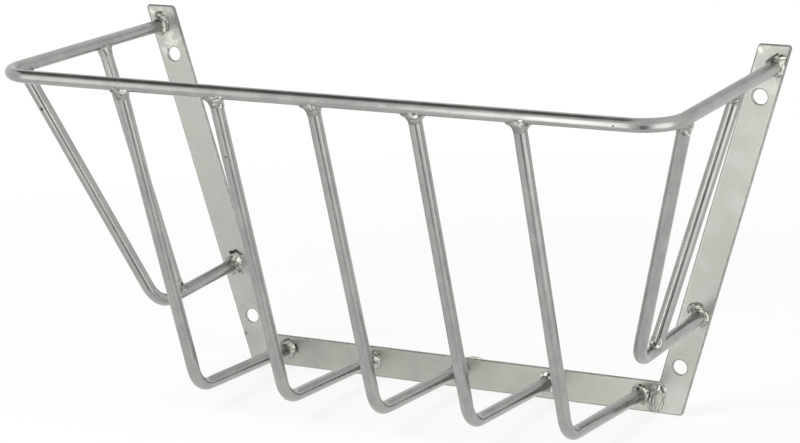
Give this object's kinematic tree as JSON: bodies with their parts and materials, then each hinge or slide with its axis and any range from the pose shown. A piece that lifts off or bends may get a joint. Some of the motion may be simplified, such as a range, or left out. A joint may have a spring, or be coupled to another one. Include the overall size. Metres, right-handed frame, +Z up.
{
  "type": "wall hay rack",
  "caption": "Wall-mounted open hay rack: a U-shaped rim and bent round bars welded to a frame of leaning flat straps with screw holes.",
  "frame": {"origin": "middle of the cross strap's back face, which lies on the wall", "axes": "+X to the right of someone facing the rack, +Y into the wall, +Z up; the basket stands out towards -Y"},
  "size_m": [0.551, 0.2279, 0.292],
  "materials": {
    "strap_steel": "pale satin zinc-plated flat steel with soft mottling",
    "rod_steel": "satin drawn rod with fine lengthwise streaks",
    "weld_metal": "rippled weld bead, plated over, bright crests and dark crevices"
  },
  "bodies": {
    "root": {"left_mounting_strap": "strap_steel", "right_mounting_strap": "strap_steel", "cross_strap": "strap_steel", "rim_rod": "rod_steel", "front_bar_1": "rod_steel", "front_bar_2": "rod_steel", "front_bar_3": "rod_steel", "front_bar_4": "rod_steel", "front_bar_5": "rod_steel", "left_corner_bar": "rod_steel", "right_corner_bar": "rod_steel", "left_side_bar": "rod_steel", "right_side_bar": "rod_steel", "weld_rim_to_left_strap": "weld_metal", "weld_rim_to_right_strap": "weld_metal", "weld_front_bar_1_to_rim": "weld_metal", "weld_front_bar_2_to_rim": "weld_metal", "weld_front_bar_3_to_rim": "weld_metal", "weld_front_bar_4_to_rim": "weld_metal", "weld_front_bar_5_to_rim": "weld_metal", "weld_front_bar_1_to_cross_strap": "weld_metal", "weld_front_bar_2_to_cross_strap": "weld_metal", "weld_front_bar_3_to_cross_strap": "weld_metal", "weld_front_bar_4_to_cross_strap": "weld_metal", "weld_front_bar_5_to_cross_strap": "weld_metal", "weld_left_corner_bar_to_rim": "weld_metal", "weld_right_corner_bar_to_rim": "weld_metal", "weld_left_corner_bar_to_strap": "weld_metal", "weld_right_corner_bar_to_strap": "weld_metal", "weld_left_side_bar_to_rim": "weld_metal", "weld_right_side_bar_to_rim": "weld_metal", "weld_left_side_bar_to_corner_bar": "weld_metal", "weld_right_side_bar_to_corner_bar": "weld_metal", "weld_cross_strap_to_left_strap": "weld_metal", "weld_cross_strap_to_right_strap": "weld_metal"}
  },
  "joints": []
}
